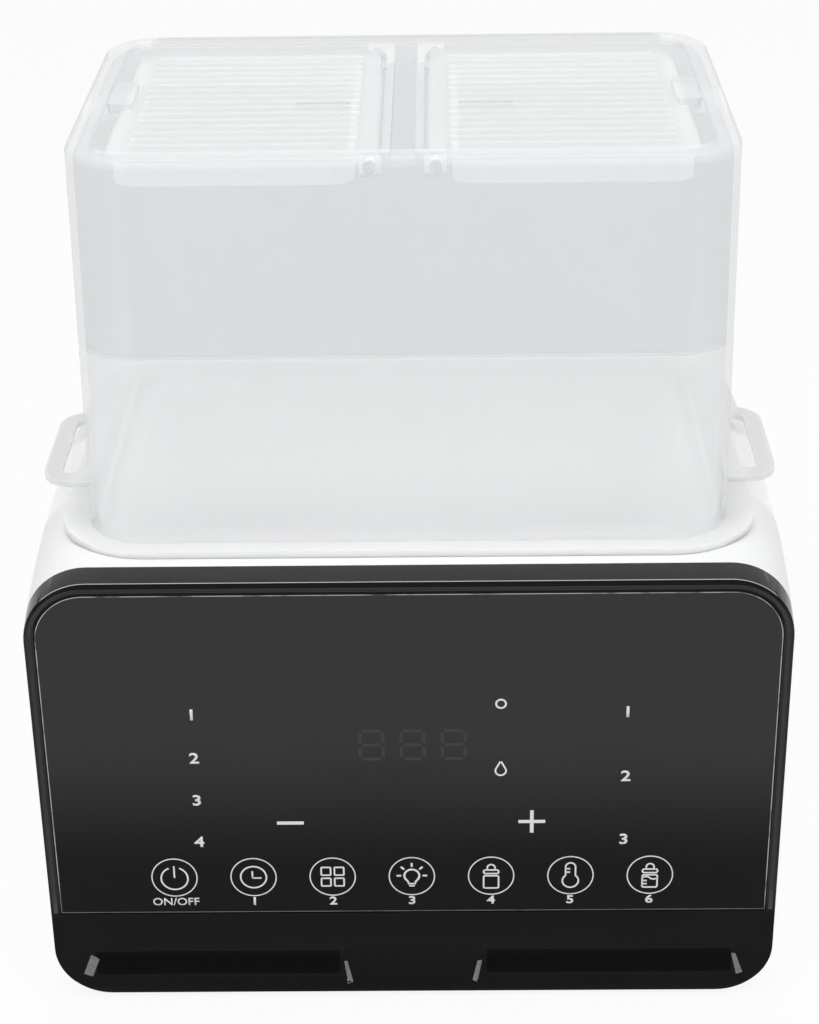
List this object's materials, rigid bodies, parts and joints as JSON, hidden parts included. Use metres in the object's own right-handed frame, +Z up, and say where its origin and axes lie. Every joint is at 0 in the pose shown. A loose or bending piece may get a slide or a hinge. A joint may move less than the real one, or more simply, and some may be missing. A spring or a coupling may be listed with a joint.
{
  "type": "bottle warmer",
  "caption": "Bottle warmer with a touch panel on a rounded base, a lift-out steam basket, a frosted hood and hinged flip lids on top.",
  "frame": {"origin": "on the floor under the middle of the base, where the feet rest", "axes": "+Z up, -Y towards the touch panel, +X to the right as seen from the front"},
  "size_m": [0.217, 0.158, 0.252],
  "materials": {
    "housing_white": "smooth satin white",
    "fascia_black": "piano black",
    "film_black": "glossy printed film",
    "circuit_board": "solder mask",
    "display_white": "moulded",
    "lamp_white": "moulded",
    "foam_grey": "conductive foam",
    "steel": "zinc plated",
    "tank_grey": "moulded",
    "plate_aluminium": "coated, satin",
    "seal_red": "silicone",
    "heater_aluminium": "mill finish",
    "sensor_epoxy": "dipped epoxy",
    "bakelite": "moulded",
    "transformer_tape": "taped",
    "relay_blue": "moulded",
    "capacitor_sleeve": "shrink sleeve",
    "terminal_green": "moulded",
    "connector_ivory": "moulded",
    "cover_grey": "fine texture",
    "foot_rubber": "matt",
    "gland_black": "moulded",
    "basket_white": "translucent white",
    "hood_frosted": "frosted, translucent",
    "lid_frosted": "frosted, translucent"
  },
  "bodies": {
    "base": {"outer_housing": "housing_white", "front_fascia": "fascia_black", "panel_film": "film_black", "control_board": "circuit_board", "led_display": "display_white", "indicator_leds": "lamp_white", "touch_pads": "foam_grey", "control_board_screws": "steel", "fascia_screws": "steel", "water_tank": "tank_grey", "heating_plate": "plate_aluminium", "plate_gasket": "seal_red", "plate_clamp": "steel", "clamp_screws": "steel", "ptc_heater": "heater_aluminium", "heater_strap": "steel", "temperature_sensor": "sensor_epoxy", "thermal_cutout": "bakelite", "power_board": "circuit_board", "power_board_screws": "steel", "transformer": "transformer_tape", "relay": "relay_blue", "filter_capacitor": "capacitor_sleeve", "terminal_block": "terminal_green", "board_connectors": "connector_ivory", "bottom_cover": "cover_grey", "cover_screws": "steel", "rubber_feet": "foot_rubber", "cord_gland": "gland_black"},
    "basket": {"steam_basket": "basket_white"},
    "hood": {"hood_shell": "hood_frosted"},
    "left_lid": {"left_lid": "lid_frosted"},
    "right_lid": {"right_lid": "lid_frosted"}
  },
  "joints": [
    {"name": "basket_lift", "type": "slide", "parent": "base", "child": "basket", "axis": [0, 0, 1], "range_m": [0, 0.1]},
    {"name": "hood_lift", "type": "slide", "parent": "basket", "child": "hood", "axis": [0, 0, 1], "range_m": [0, 0.12]},
    {"name": "left_lid_hinge", "type": "hinge", "parent": "hood", "child": "left_lid", "pos_m": [-0.0086, 0, 0.2474], "axis": [0, 1, 0], "range_deg": [0, 93]},
    {"name": "right_lid_hinge", "type": "hinge", "parent": "hood", "child": "right_lid", "pos_m": [0.0086, 0, 0.2474], "axis": [0, -1, 0], "range_deg": [0, 93]}
  ]
}
